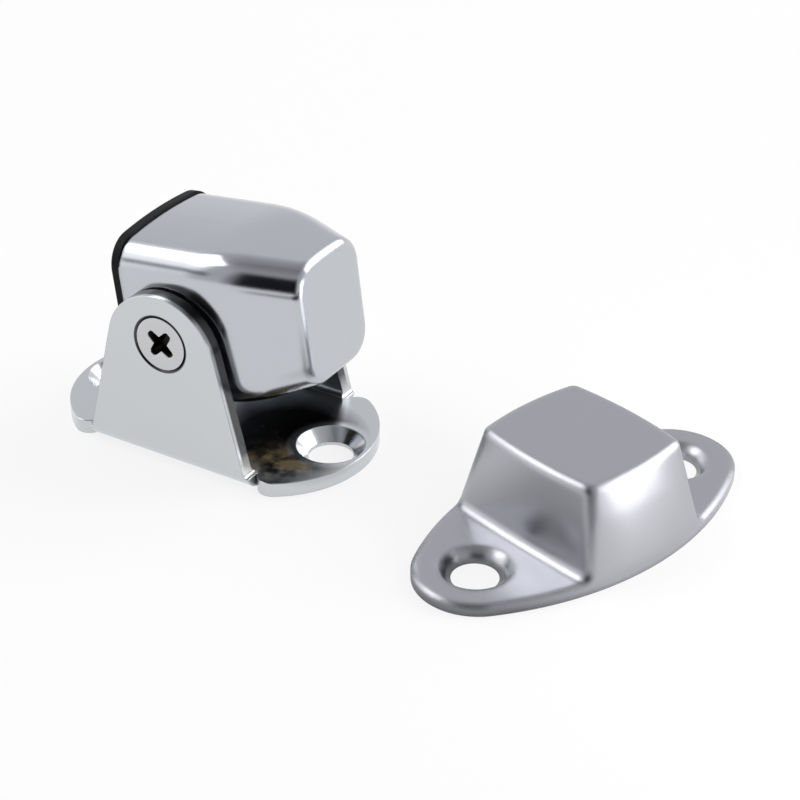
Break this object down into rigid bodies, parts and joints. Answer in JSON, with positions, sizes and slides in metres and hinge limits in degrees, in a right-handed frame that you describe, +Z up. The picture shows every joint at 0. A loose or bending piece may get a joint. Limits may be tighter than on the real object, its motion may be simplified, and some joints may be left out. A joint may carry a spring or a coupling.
{
  "type": "magnetic catch",
  "caption": "Magnetic door catch: a tilting magnet head between the ears of a bent base bracket, and a low cast strike with screw tabs that the magnet holds.",
  "frame": {"origin": "middle of the base bracket's underside", "axes": "+X along the bracket towards the tab under the head's closed end, +Y across the ears away from the pivot screw's head, +Z up off the mounting surface"},
  "size_m": [0.0882, 0.0497, 0.0312],
  "materials": {
    "polished_sheet": "polished stainless sheet",
    "polished_casting": "chrome plated casting",
    "screw_steel": "turned steel, plated",
    "washer_plastic": "natural nylon",
    "carrier_plastic": "black moulding, satin",
    "magnet_ferrite": "ground ferrite",
    "pole_steel": "zinc plated strip"
  },
  "bodies": {
    "base": {"base_bracket": "polished_sheet", "pivot_screw": "screw_steel", "washer_near": "washer_plastic", "washer_far": "washer_plastic", "strike": "polished_casting"},
    "head": {"magnet_housing": "polished_casting", "magnet_carrier": "carrier_plastic", "magnet_block": "magnet_ferrite", "pole_plate_upper": "pole_steel", "pole_plate_lower": "pole_steel"}
  },
  "joints": [
    {"name": "head_tilt", "type": "hinge", "parent": "base", "child": "head", "pos_m": [0, 0, 0.0184], "axis": [0, -1, 0], "range_deg": [-42, 194]}
  ]
}
